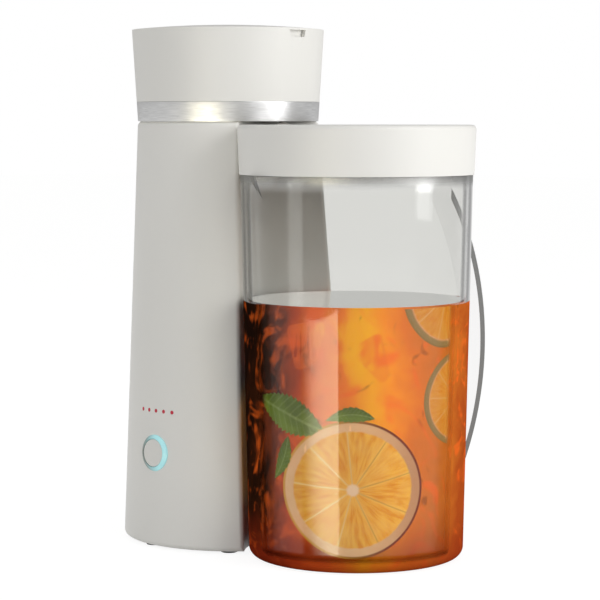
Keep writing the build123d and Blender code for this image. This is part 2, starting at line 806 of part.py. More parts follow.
board_face = -board_depth
switch_top = board_face + switch_h
plunger_top = switch_top + plunger_out
guide_top = -ring_flange_back - ring_flange_t


def button_guide():
    guide = Pos(0, 0, guide_top - guide_t / 2) * Box(2 * guide_half, 2 * guide_half, guide_t)
    guide = fillet(guide.edges().filter_by(Axis.Z), 3)
    corner = guide_half - guide_post_r - 0.6
    for u in (-corner, corner):
        for v in (-corner, corner):
            guide += rod(guide_post_r, board_face, guide_top - guide_t / 2, u, v)
    guide -= rod(button_stem_r + run_fit, guide_top - 9, guide_top + 1)
    for u in (-board_screw_x, board_screw_x):
        guide -= rod(board_boss_r + 0.2, -30, 5, u, board_screw_y[0])
    return front * guide


def push_switch():
    body = Pos(0, 0, board_face + switch_h / 2) * Box(2 * switch_half, 2 * switch_half, switch_h)
    depth = button_travel + 0.4 + 1.2
    return front * (body - rod(plunger_r + run_fit, switch_top - depth, switch_top + 1))


def switch_plunger():
    return front * rod(plunger_r, switch_top - 1.2, plunger_top)


def control_board():
    height = board_low + board_high
    board = Pos(0, (board_high - board_low) / 2, board_face - board_t / 2) * Box(2 * board_half_w, height, board_t)
    chip = Pos(0, 12, board_face + 0.9) * Box(9, 7, 1.8)
    relay = Pos(4, 20, board_face - board_t - 5) * Box(18, 14, 10)
    cap = Pos(-11, 6, board_face - board_t - 5) * Cylinder(4, 10)
    board += [chip, relay, cap]
    for u in (-board_screw_x, board_screw_x):
        for v in board_screw_y:
            board -= rod(board_screw_r, board_face - 9, board_face + 9, u, v)
    return front * board


def board_screws():
    screws = []
    for u in (-board_screw_x, board_screw_x):
        for v in board_screw_y:
            screw = rod(2.2, board_face - board_t - 1.4, board_face - board_t, u, v)
            screws.append(front * (screw + rod(board_screw_r, board_face - board_t, board_face + 5, u, v)))
    return screws


def led_lights():
    pipes = [front * rod(led_r, board_face, 3, x, led_up) for x in led_places()]
    return [p & tower_block for p in pipes]


# ---------------------------------------------------------------- cord inlet
def cord_grommet():
    body = rod(grommet_r, -grommet_tail, grommet_flange_t)
    body += Pos(0, 0, grommet_flange_t / 2 + 0.4) * Cylinder(grommet_flange_r, grommet_flange_t - 0.2)
    body += rod(grommet_flange_r - 0.6, -grommet_tail, -grommet_tail + 1.8)
    return back * (body - rod(cord_bore_r, -20, 20))


def terminal_block():
    z = foot_h + plate_t
    body = block(-terminal_l / 2, terminal_l / 2, -terminal_w / 2, terminal_w / 2, z, z + terminal_h)
    for i in (-1, 0, 1):
        body -= rod(2.0, z + terminal_h - 5, z + terminal_h + 1, i * 6)
        body -= across(1.4, -terminal_w, terminal_w, i * 6, z + 5)
    return Pos(skin_x(cord_z), 43, 0) * body


# ---------------------------------------------------------------- pitcher
def jug_inside(z0, z1):
    """The jug's inside between two heights below the shoulder."""
    bottom = max(z0, jug_floor)
    body = frustum(bottom, jug_r(bottom) - jug_wall, z1, jug_r(z1) - jug_wall)
    if bottom == jug_floor:
        body = fillet(body.edges().sort_by(Axis.Z)[0], jug_inner_round)
    return body


def jug_outside():
    body = frustum(0, jug_base_r, jug_shoulder_z, jug_shoulder_r)
    return fillet(body.edges().sort_by(Axis.Z)[0], jug_edge_round)


def lip(offset):
    """Wedge of the pouring lip: a rounded V at the shoulder that runs down to a point."""
    tip = jug_shoulder_r + spout_reach - offset
    half = spout_half_width - offset * 1.3
    low_r = jug_r(jug_shoulder_z - spout_drop) - 0.6 - offset
    high = make_face(Polyline((jug_shoulder_r - 9, -half), (jug_shoulder_r - 2.6, -half), (tip, 0),
                              (jug_shoulder_r - 2.6, half), (jug_shoulder_r - 9, half), close=True))
    high = fillet(high.vertices().sort_by(Axis.X)[-1], 3.0)
    low = make_face(Polyline((low_r - 6.4, -1.2), (low_r - 1.0, -1.2), (low_r, 0), (low_r - 1.0, 1.2),
                             (low_r - 6.4, 1.2), close=True))
    low = fillet(low.vertices().sort_by(Axis.X)[-1], 0.4)
    bottom = jug_shoulder_z - spout_drop
    top = jug_shoulder_z
    return facing(spout_turn) * loft([Pos(0, 0, bottom) * low, Pos(0, 0, top) * high], ruled=True)


def jug():
    body = jug_outside() + lip(0)
    body += rod(mouth_r + rim_wall, jug_shoulder_z - 1, rim_top_z)
    body -= jug_inside(0, jug_shoulder_z)
    body -= rod(mouth_r, jug_shoulder_z, rim_top_z + 1)
    body -= lip(spout_wall)
    body -= frustum(-1, jug_foot_r + 1, jug_foot_hollow, jug_foot_r)
    return Pos(pitcher_x, 0, 0) * body


def jug_handle():
    centre = handle_reach - handle_bow_r
    bow = across(handle_bow_r, -handle_w / 2, handle_w / 2, centre, handle_mid_z)
    bow -= across(handle_bow_r - handle_t, -handle_w, handle_w, centre, handle_mid_z)
    bow &= block(jug_base_r - 4, handle_reach + 1, -handle_w, handle_w, 2, jug_shoulder_z - 1)
    return Pos(pitcher_x, 0, 0) * (facing(handle_turn) * bow - jug_outside())


# ---------------------------------------------------------------- pitcher lid
def pitcher_lid():
    outer = frustum(cap_bottom_z, cap_skirt_r, cap_top_z, cap_top_r)
    outer = fillet(outer.edges().sort_by(Axis.Z)[-1], cap_edge_round)
    under = cap_top_z - cap_top_t
    hollow = frustum(cap_bottom_z - 1, cap_skirt_r - cap_wall, under, cap_top_r - cap_wall - 0.2)
    cap = outer - hollow
    ring_r_out = mouth_r - soft_gap
    ring_low = under - cap_ring_depth
    cap += tube(ring_r_out, ring_r_out - cap_ring_wall, ring_low, under + 0.5)
    web_z = rim_top_z + soft_gap + gasket_t
    cap += tube(cap_skirt_r - cap_wall + 0.4, ring_r_out - 0.5, web_z, web_z + 1.6)
    reach = pitcher_x - nozzle_x
    inlet = rod(inlet_r, under - 1, cap_top_z + 5, -(reach - 1.2))
    cap -= inlet
    beam = block(-reach - inlet_beam / 2, -reach + inlet_beam / 2, -inlet_r - 0.4, inlet_r + 0.4,
                 under, cap_top_z + inlet_beam_rise)
    cap += beam
    first = spout_turn - pour_twist - strainer_pitch * (strainer_slots - 1) / 2
    for i in range(strainer_slots):
        slot = block(ring_r_out - 4, ring_r_out + 1, -strainer_slot_w / 2, strainer_slot_w / 2,
                     ring_low - 1, ring_low + strainer_slot_h)
        cap -= facing(first + strainer_pitch * i) * slot
    return Pos(pitcher_x, 0, 0) * cap


def cap_gasket():
    low = rim_top_z + soft_gap
    return tube(mouth_r + rim_wall, mouth_r - soft_gap, low, low + gasket_t, pitcher_x)


# ---------------------------------------------------------------- contents of the pitcher
def curved_slice(turn, z, r, thickness, off=0.0):
    """Citrus slice that lies against the jug's wall and follows its curve."""
    body = Pos(0, off, z) * Rot(0, 90, 0) * Cylinder(r, 90, align=(Align.CENTER, Align.CENTER, Align.MIN))
    inner = frustum(z - 70, jug_r(z - 70) - jug_wall - thickness, z + 70, jug_r(z + 70) - jug_wall - thickness)
    return facing(turn) * ((body & jug_inside(0, tea_level)) - inner)


def big_slice():
    return curved_slice(view_turn, slice_z, slice_r, slice_t, slice_off)


def leaf(turn, z, length, width, tilt):
    """Pointed mint leaf against the wall: the overlap of two large discs."""
    bend = (length * length + width * width) / (4 * width)
    disc = Rot(0, 90, 0) * Cylinder(bend, 90, align=(Align.CENTER, Align.CENTER, Align.MIN))
    aside = bend - width / 2
    body = Pos(0, 0, z) * Rot(tilt, 0, 0) * ((Pos(0, 0, aside) * disc) & (Pos(0, 0, -aside) * disc))
    outside, inside = (
        frustum(z - 60, jug_r(z - 60) - jug_wall - depth, z + 60, jug_r(z + 60) - jug_wall - depth)
        for depth in (leaf_gap, leaf_gap + leaf_t))
    return facing(turn) * ((body & outside) - inside)


def ice_cube(turn, z, tilt):
    """Ice cube with rounded edges, cut flush where it lies against the wall."""
    cube = Box(ice_size, ice_size, ice_size)
    cube = fillet(cube.edges(), ice_round)
    x = jug_r(z) - jug_wall - ice_size * 0.44
    cube = facing(turn) * Pos(x, 0, z) * Rot(tilt, tilt * 0.6, tilt * 1.3) * cube
    return cube & jug_inside(0, tea_level - 0.5)


slices = [big_slice()] + [curved_slice(turn, z, r, slice_t) for turn, z, r in side_slices]
leaves = [leaf(*place) for place in leaf_places]
cubes = [ice_cube(*place) for place in ice_spots]


def in_pitcher(solids):
    return [Pos(pitcher_x, 0, 0) * s for s in solids]


def iced_tea():
    tea = jug_inside(0, tea_level) - slices - cubes - leaves
    return Pos(pitcher_x, 0, 0) * tea


# ---------------------------------------------------------------- write the pieces
pieces = {
    "tower_shell": tower_shell(), "tower_deck": tower_deck(), "base_plate": base_plate(),
    "rubber_feet": rubber_feet(), "base_screws": base_screws(), "metal_band": metal_band(),
    "head_housing": head_housing(),
    "head_screws": head_screws(), "hinge_pin": hinge_pin(), "head_lid": head_lid(), "spray_plate": spray_plate(),
    "brew_basket": brew_basket(), "filter_screen": filter_screen(), "outlet_nozzle": outlet_nozzle(),
    "drip_valve": drip_valve(), "valve_spring": valve_spring(), "valve_cage": valve_cage(),
    "water_tank": water_tank(), "tank_gasket": tank_gasket(), "tank_screws": tank_screws(),
    "tank_hose": tank_hose(), "check_valve": check_valve(), "heater_inlet_hose": bent_hose(-1),
    "heater_outlet_hose": bent_hose(1), "riser_tube": riser_tube(), "riser_seal": riser_seal(),
    "heater_casting": heater_casting(), "heater_tube": heater_tube(), "heating_element": heating_element(),
    "heater_pads": heater_pads(), "heater_screws": heater_screws(), "thermostat": thermostat(),
    "thermal_fuse": thermal_fuse(), "control_board": control_board(), "board_screws": board_screws(),
    "led_lights": led_lights(), "light_ring": light_ring(), "power_button": button_cap(),
    "button_guide": button_guide(), "push_switch": push_switch(), "switch_plunger": switch_plunger(),
    "cord_grommet": cord_grommet(), "terminal_block": terminal_block(), "jug": jug(), "jug_handle": jug_handle(),
    "pitcher_lid": pitcher_lid(), "cap_gasket": cap_gasket(), "iced_tea": iced_tea(),
    "citrus_slices": in_pitcher(slices), "mint_leaves": in_pitcher(leaves), "ice_cubes": in_pitcher(cubes),
}


def solids_of(shape):
    if isinstance(shape, (list, tuple, ShapeList)):
        return [s for item in shape for s in solids_of(item)]
    return list(shape.solids())


os.makedirs("parts", exist_ok=True)
whole = Compound(children=[Compound(solids_of(shape)) for shape in pieces.values()])
span = whole.bounding_box()
home = Pos(-(span.min.X + span.max.X) / 2, -(span.min.Y + span.max.Y) / 2, -span.min.Z)
for name, shape in pieces.items():
    export_step(home * Compound(solids_of(shape)), f"parts/{name}.step")
print("head axis", home.position.X, home.position.Y, "size", span.size)
print("front plane", (home * front).position, front_plane().z_dir, "hinge", hinge_x + home.position.X, hinge_z)
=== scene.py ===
"""Iced tea maker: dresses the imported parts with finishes, drink, fruit and a studio."""
import math

import bpy
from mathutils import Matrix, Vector


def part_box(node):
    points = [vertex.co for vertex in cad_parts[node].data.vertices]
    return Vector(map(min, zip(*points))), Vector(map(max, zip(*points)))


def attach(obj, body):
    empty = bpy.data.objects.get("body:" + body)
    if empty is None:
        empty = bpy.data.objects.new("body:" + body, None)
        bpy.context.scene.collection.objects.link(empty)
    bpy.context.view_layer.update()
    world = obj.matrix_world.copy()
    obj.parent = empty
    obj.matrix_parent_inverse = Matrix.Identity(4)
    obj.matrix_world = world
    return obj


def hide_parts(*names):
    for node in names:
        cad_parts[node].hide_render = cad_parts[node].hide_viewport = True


bl_info = {
    "name": "Iced Tea Maker",
    "version": (1, 0, 0),
    "blender": (4, 5, 0),
    "location": "View3D > Sidebar > Tea Maker",
    "description": "Dresses an iced tea maker with its finishes, drink and studio",
    "category": "Object",
}

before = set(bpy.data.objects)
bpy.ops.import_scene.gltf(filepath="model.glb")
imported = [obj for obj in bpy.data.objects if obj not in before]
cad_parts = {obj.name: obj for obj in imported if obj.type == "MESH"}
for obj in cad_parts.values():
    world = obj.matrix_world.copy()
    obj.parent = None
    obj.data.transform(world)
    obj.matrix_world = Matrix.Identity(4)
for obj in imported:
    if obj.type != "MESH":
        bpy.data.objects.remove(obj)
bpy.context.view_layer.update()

MM = 0.001


def middle(node):
    low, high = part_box(node)
    return (low + high) / 2


# places read from the frame
JUG_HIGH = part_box("jug")[1]
TEA_LOW, TEA_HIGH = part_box("iced_tea")
JUG_AXIS = Vector((0.0480001, -0.0126051, 0.0))
HEAD_AXIS = Vector((-0.0540999, -0.0126051, 0.0))
VIEW_TURN = math.radians(42.8)    # direction that the big slice faces, from the front

# the pitcher's outer radius at the foot and at the rim, the rim's height and the wall
JUG_FOOT_R, JUG_RIM_R, JUG_RIM_Z, JUG_WALL = 61.3, 66.0, 217.7, 2.8
DRINK_HALF_WIDTH = 61.5 * MM
RING_OUTER_R = 12.6 * MM


# ------------------------------------------------------------------ settings
class TeaMakerFinish(bpy.types.PropertyGroup):
    shell: bpy.props.FloatVectorProperty(
        name="Shell", description="Colour of the moulded housing and lids",
        default=(0.80, 0.79, 0.755), min=0, max=1, subtype="COLOR")
    band: bpy.props.FloatVectorProperty(
        name="Band", description="Colour of the brushed neck band",
        default=(0.62, 0.62, 0.62), min=0, max=1, subtype="COLOR")
    clear: bpy.props.FloatVectorProperty(
        name="Clear plastic", description="Tint of light that crosses one surface of the pitcher",
        default=(0.915, 0.915, 0.905), min=0, max=1, subtype="COLOR")
    ring: bpy.props.FloatVectorProperty(
        name="Light ring", description="Colour of the lit ring round the button",
        default=(0.28, 0.62, 0.66), min=0, max=1, subtype="COLOR")
    lights: bpy.props.FloatVectorProperty(
        name="Indicator lights", description="Colour of the strength lights",
        default=(0.42, 0.008, 0.03), min=0, max=1, subtype="COLOR")
    rind: bpy.props.FloatVectorProperty(
        name="Rind", description="Colour of the citrus peel",
        default=(0.75, 0.40, 0.06), min=0, max=1, subtype="COLOR")
    leaf: bpy.props.FloatVectorProperty(
        name="Leaf", description="Colour of the mint leaves",
        default=(0.25, 0.37, 0.035), min=0, max=1, subtype="COLOR")


class TeaMakerSizes(bpy.types.PropertyGroup):
    edge_round: bpy.props.FloatProperty(
        name="Edge rounding", description="Radius on the moulded edges",
        default=0.5 * MM, min=0, unit="LENGTH")
    drink_gap: bpy.props.FloatProperty(
        name="Drink gap", description="Thin space between the drink and the pitcher's wall",
        default=0.3 * MM, min=0, unit="LENGTH")
    fruit_gap: bpy.props.FloatProperty(
        name="Fruit gap", description="Thin space between the fruit and the pitcher's wall",
        default=0.05 * MM, min=0, unit="LENGTH")


# ------------------------------------------------------------------ shader maths
class Wire:
    """A node socket that can be added, multiplied and compared like a number."""

    def __init__(self, finish, socket):
        self.finish, self.socket = finish, socket

    def maths(self, operation, *others):
        return self.finish.node("ShaderNodeMath", {"operation": operation}, (self, *others))

    def __add__(self, other):
        return self.maths("ADD", other)

    __radd__ = __add__

    def __mul__(self, other):
        return self.maths("MULTIPLY", other)

    __rmul__ = __mul__

    def __sub__(self, other):
        return self.maths("SUBTRACT", other)

    def __rsub__(self, other):
        return self.finish.node("ShaderNodeMath", {"operation": "SUBTRACT"}, (other, self))

    def __truediv__(self, other):
        return self.maths("DIVIDE", other)

    def __pow__(self, other):
        return self.maths("POWER", other)

    def clamp(self):
        return self.finish.node("ShaderNodeClamp", {}, (self,))

    def step(self, low, high):
        """0 below low, 1 above high, smooth between."""
        return self.finish.node(
            "ShaderNodeMapRange", {"interpolation_type": "SMOOTHSTEP"},
            {"Value": self, "From Min": low, "From Max": high})

    def root(self):
        return self.maths("SQRT")

    def size(self):
        return self.maths("ABSOLUTE")


class Finish:
    """A material whose nodes are written as Python expressions."""

    def __init__(self, name, **constants):
        self.material = bpy.data.materials.new(name)
        self.material.use_nodes = True
        self.tree = self.material.node_tree
        self.surface = self.tree.nodes["Principled BSDF"]
        self.set(**constants)

    def put(self, socket, value):
        if isinstance(value, Wire):
            self.tree.links.new(value.socket, socket)
        elif socket.type == "RGBA" and len(value) == 3:
            socket.default_value = (*value, 1.0)
        else:
            socket.default_value = value

    def set(self, **values):
        for key, value in values.items():
            self.put(self.surface.inputs[key.replace("_", " ").title().replace("Ior", "IOR")], value)
        return self

    def node(self, kind, settings=None, inputs=(), output=0):
        made = self.tree.nodes.new(kind)
        for key, value in (settings or {}).items():
            if key == "stops":
                while len(made.color_ramp.elements) < len(value):
                    made.color_ramp.elements.new(0.5)
                for stop, (place, colour) in zip(made.color_ramp.elements, value):
                    stop.position, stop.color = place, (*colour, 1.0)
            else:
                setattr(made, key, value)
        pairs = inputs.items() if isinstance(inputs, dict) else enumerate(inputs)
        for key, value in pairs:
            self.put(made.inputs[key], value)
        return Wire(self, made.outputs[output])

    def spot(self):
        return self.node("ShaderNodeTexCoord", output="Object")

    def parts(self, vector):
        made = self.tree.nodes.new("ShaderNodeSeparateXYZ")
        self.put(made.inputs[0], vector)
        return [Wire(self, made.outputs[i]) for i in range(3)]

    def vector(self, x, y, z):
        return self.node("ShaderNodeCombineXYZ", {}, (x, y, z))

    def noise(self, scale, detail=3.0, vector=None, distortion=0.0, output=0):
        inputs = {"Vector": vector or self.spot(), "Scale": scale, "Detail": detail, "Distortion": distortion}
        return self.node("ShaderNodeTexNoise", {}, inputs, output)

    def mix(self, factor, first, second):
        made = self.tree.nodes.new("ShaderNodeMix")
        made.data_type = "RGBA"
        self.put(made.inputs["Factor"], factor)
        colours = [s for s in made.inputs if s.type == "RGBA"]
        self.put(colours[0], first)
        self.put(colours[1], second)
        return Wire(self, next(s for s in made.outputs if s.type == "RGBA"))

    def ramp(self, factor, *stops):
        return self.node("ShaderNodeValToRGB", {"stops": stops}, (factor,))

    def bump(self, height, depth, strength=1.0):
        normal = self.node("ShaderNodeBump", {}, {"Height": height, "Distance": depth, "Strength": strength})
        return self.set(Normal=normal)

    def see_through(self, factor, tint):
        """Mixes the surface with plain transparency; factor is how much surface shows."""
        clear = self.node("ShaderNodeBsdfTransparent", {}, {"Color": tint})
        mixed = self.tree.nodes.new("ShaderNodeMixShader")
        self.put(mixed.inputs[0], factor)
        self.tree.links.new(clear.socket, mixed.inputs[1])
        self.tree.links.new(self.surface.outputs[0], mixed.inputs[2])
        self.tree.links.new(mixed.outputs[0], self.tree.nodes["Material Output"].inputs[0])
        return self


def satin_plastic(name, colour, roughness=0.42, grain=1.0):
    """Moulded plastic with a fine spark-eroded grain."""
    f = Finish(name, specular_ior_level=0.30)
    fine = f.noise(2600.0, 2.0)
    cloud = f.noise(9.0, 2.0)
    shade = f.mix(cloud.step(0.35, 0.65), [c * 0.985 for c in colour], colour)
    f.set(base_color=shade, roughness=(fine - 0.5) * 0.08 + roughness)
    f.bump(fine, 0.00002 * grain, 0.35)
    return f.material


def plain_plastic(name, colour, roughness=0.5):
    f = Finish(name)
    fine = f.noise(900.0, 2.0)
    shade = f.mix(fine, [c * 0.94 for c in colour], colour)
    f.set(base_color=shade, roughness=(fine - 0.5) * 0.1 + roughness)
    f.bump(fine, 0.00003, 0.3)
    return f.material


def soft_rubber(name, colour):
    f = Finish(name, specular_ior_level=0.3)
    fine = f.noise(1500.0, 3.0)
    f.set(base_color=f.mix(fine, [c * 0.75 for c in colour], colour), roughness=(fine * 0.2) + 0.62)
    f.bump(fine, 0.00004, 0.5)
    return f.material


def brushed_metal(name, colour, axis, roughness=0.3):
    """Metal brushed round an upright axis, so the lines run level."""
    f = Finish(name)
    x, y, z = f.parts(f.spot())
    turn = f.node("ShaderNodeMath", {"operation": "ARCTAN2"}, (y - axis.y, x - axis.x))
    lines = f.noise(1.0, 4.0, f.vector(turn * 6.0, z * 5200.0, 0.0))
    broad = f.noise(1.0, 2.0, f.vector(turn * 1.5, z * 900.0, 3.0))
    shade = f.mix(lines.step(0.25, 0.75), [c * 0.8 for c in colour], [min(1.0, c * 1.12) for c in colour])
    f.set(base_color=shade, metallic=1.0, roughness=lines * 0.16 + broad * 0.06 + roughness - 0.1)
    f.bump(lines, 0.00003, 0.5)
    return f.material


def bare_metal(name, colour, roughness=0.35):
    f = Finish(name)
    fine = f.noise(700.0, 4.0)
    shade = f.mix(fine, [c * 0.8 for c in colour], colour)
    f.set(base_color=shade, metallic=1.0, roughness=fine * 0.2 + roughness - 0.1)
    f.bump(fine, 0.00005, 0.4)
    return f.material


def clear_plastic(name, tint, least=0.03, body=(0.9, 0.9, 0.9), edge=(0.16, 0.16, 0.155)):
    """Clear moulded plastic: tinted and see-through, glossier and darker where it is seen along its wall."""
    f = Finish(name, metallic=1.0, roughness=0.03)
    fine = f.noise(55.0, 1.0)
    f.bump(fine, 0.00015, 0.15)
    facing = f.node("ShaderNodeLayerWeight", {}, {"Blend": 0.5}, output="Facing")
    f.set(base_color=f.mix(facing.step(0.72, 0.90), body, edge))
    f.see_through((facing ** 5.0) * 0.9 + least, tint)
    return f.material


# colours of the drink from its left edge (0) to its right edge (1), seen from the front: painted shade near
# black at the left edge, a painted glow of orange in the middle, brown at the right
TEA_SHADE_AND_GLOW_STOPS = (
    (0.0, (0.012, 0.005, 0.003)), (0.08, (0.035, 0.010, 0.004)), (0.14, (0.20, 0.034, 0.008)),
    (0.21, (0.52, 0.068, 0.012)), (0.30, (0.82, 0.15, 0.02)), (0.42, (0.93, 0.27, 0.02)),
    (0.53, (0.98, 0.46, 0.012)), (0.63, (0.95, 0.33, 0.015)), (0.74, (0.78, 0.20, 0.018)),
    (0.86, (0.60, 0.17, 0.022)), (1.0, (0.40, 0.07, 0.012)))


def tea_colour(f, lighter=0.0):
    """Tea with swirls and painted light: painted shade near black at the left, a painted glow of orange in
    the middle with a painted glow spot near the top, brown at the right, darker towards the bottom.
    """
    spot = f.spot()
    right, z = aside(f, VIEW_TURN)
    v = z / TEA_HIGH.z
    large = f.noise(17.0, 3.0, spot, 1.2)
    small = f.noise(46.0, 4.0, spot, 2.2)
    wisps = f.noise(26.0, 2.0, spot, 3.4)
    u = right / DRINK_HALF_WIDTH + (large - 0.5) * 0.55 + (small - 0.5) * 0.22 + lighter
    colour = f.ramp(u * 0.5 + 0.5, *TEA_SHADE_AND_GLOW_STOPS)
    colour = f.mix(wisps.step(0.52, 0.72) * 0.55, colour, (0.95, 0.15, 0.018))
    # painted glow: a bright orange spot high in the middle of the drink
    painted_glow_spot = (((u + 0.02) * (u + 0.02)) / 0.035 + ((v - 0.86) * (v - 0.86)) / 0.02).step(0.2, 1.6)
    colour = f.mix((1.0 - painted_glow_spot) * 0.75, colour, (1.0, 0.55, 0.012))
    colour = f.mix((1.0 - small.step(0.26, 0.38)) * 0.45, colour, (0.09, 0.016, 0.005))
    low = 1.0 - (v + (large - 0.5) * 0.3).step(0.02, 0.26)
    return f.mix(low * 0.75, colour, (0.26, 0.024, 0.007)), small


def pitcher_wall(finish):
    """Clear wall of the pitcher. Seen edge on, it is dark above the drink and drink-coloured below; under the
    lid a band of painted shade darkens it.
    """
    f = Finish("clear_wall", roughness=0.03, specular_ior_level=0.0)
    f.bump(f.noise(55.0, 1.0), 0.00015, 0.08)
    z = f.parts(f.spot())[2]
    facing = f.node("ShaderNodeLayerWeight", {}, {"Blend": 0.5}, output="Facing")
    edge = facing.step(0.66, 0.80)
    # painted shade: the top band of the wall, under the lid, is painted dark grey, more opaque and rougher,
    # standing for the lid's shadow and dark reflection
    rim = z.step(JUG_HIGH.z - 21 * MM, JUG_HIGH.z - 11 * MM)
    floor = 1.0 - z.step(5.0 * MM, 9.0 * MM)
    wet = 1.0 - z.step(TEA_HIGH.z - 0.6 * MM, TEA_HIGH.z + 0.2 * MM)
    steeped = (wet * facing.step(0.46, 0.56) + floor).clamp()
    colour = f.mix(edge, (0.9, 0.9, 0.9), (0.03, 0.03, 0.029))
    # painted shade under the lid: dark grey
    colour = f.mix(rim * 0.8, colour, (0.22, 0.22, 0.21))
    tea = tea_colour(f)[0]
    matt = (wet * facing.step(0.34, 0.40) + 1.0 - z.step(9.5 * MM, 10.5 * MM)).clamp()
    f.set(base_color=f.mix(matt, colour, tea), metallic=1.0 - matt, roughness=matt * 0.3 + rim * 0.35 + 0.03)
    shine = (facing ** 5.0) * 0.9 * (1.0 - wet) + edge * 0.85 + rim * 0.42
    f.see_through((shine + steeped + 0.018).clamp(), finish.clear)
    return f.material


def glow(name, colour, strength, roughness=0.3):
    f = Finish(name, base_color=[c * 0.8 for c in colour], roughness=roughness)
    soft = f.noise(400.0, 1.0)
    f.set(emission_color=f.mix(soft, [c * 0.93 for c in colour], colour), emission_strength=strength)
    return f.material


# ------------------------------------------------------------------ modelling helpers
def settings():
    scene = bpy.context.scene
    return scene.tea_maker_finish, scene.tea_maker_sizes


def only(obj):
    bpy.ops.object.select_all(action="DESELECT")
    obj.select_set(True)
    bpy.context.view_layer.objects.active = obj
    return obj


def in_edit(obj, mode="FACE"):
    only(obj)
    bpy.ops.object.mode_set(mode="EDIT")
    bpy.ops.mesh.select_mode(type=mode)


def out_of_edit():
    bpy.ops.object.mode_set(mode="OBJECT")


def pick(obj, test, kind="polygons"):
    """Selects the faces, edges or vertices that pass the test, from object mode."""
    mesh = obj.data
    for group in (mesh.vertices, mesh.edges, mesh.polygons):
        for item in group:
            item.select = False
    for item in getattr(mesh, kind):
        if kind == "edges":
            a, b = (mesh.vertices[i].co for i in item.vertices)
            item.select = test(a, b)
        elif kind == "polygons":
            item.select = test(item.center, item.normal)
        else:
            item.select = test(item.co)


def modifier(obj, kind, **values):
    only(obj)
    made = obj.modifiers.new(kind.title(), kind)
    for key, value in values.items():
        setattr(made, key, value)
    bpy.ops.object.modifier_apply(modifier=made.name)


def finished(obj, name, body, slot, material, *nodes, angle=30.0):
    """Names a piece, smooths it, gives it its finish and body, and hides the CAD nodes it replaces; the slot
    is not used.
    """
    only(obj)
    bpy.ops.object.transform_apply(location=True, rotation=True, scale=True)
    obj.name = obj.data.name = name
    bpy.ops.object.shade_smooth_by_angle(angle=math.radians(angle))
    obj.data.materials.clear()
    for m in material if isinstance(material, (list, tuple)) else [material]:
        obj.data.materials.append(m)
    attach(obj, body)
    if nodes:
        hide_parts(*nodes)
    return obj


def cleaned_copy(node):
    """A copy of a CAD node with its loose triangles welded and its flat faces joined."""
    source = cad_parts[node]
    copy = bpy.data.objects.new(node + "_copy", source.data.copy())
    bpy.context.scene.collection.objects.link(copy)
    in_edit(copy)
    bpy.ops.mesh.select_all(action="SELECT")
    bpy.ops.mesh.remove_doubles(threshold=0.000002)
    bpy.ops.mesh.customdata_custom_splitnormals_clear()
    bpy.ops.mesh.mark_sharp(clear=True)
    bpy.ops.mesh.dissolve_limited(angle_limit=math.radians(0.2))
    out_of_edit()
    return copy


def dressed(node, name, body, slot, material, rounding=0.0, angle=30.0):
    """A welded, softened copy of a CAD node that stands for it."""
    copy = cleaned_copy(node)
    if rounding:
        modifier(copy, "BEVEL", width=rounding, segments=2, limit_method="ANGLE",
                 angle_limit=math.radians(40), use_clamp_overlap=True, harden_normals=False)
    piece = finished(copy, name, body, slot, material, node, angle=angle)
    modifier(piece, "WEIGHTED_NORMAL", keep_sharp=True)
    return piece


def coat(material, *nodes):
    """Gives CAD nodes that keep their own shape a finish."""
    for n in nodes:
        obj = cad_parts[n]
        obj.data.materials.clear()
        obj.data.materials.append(material)


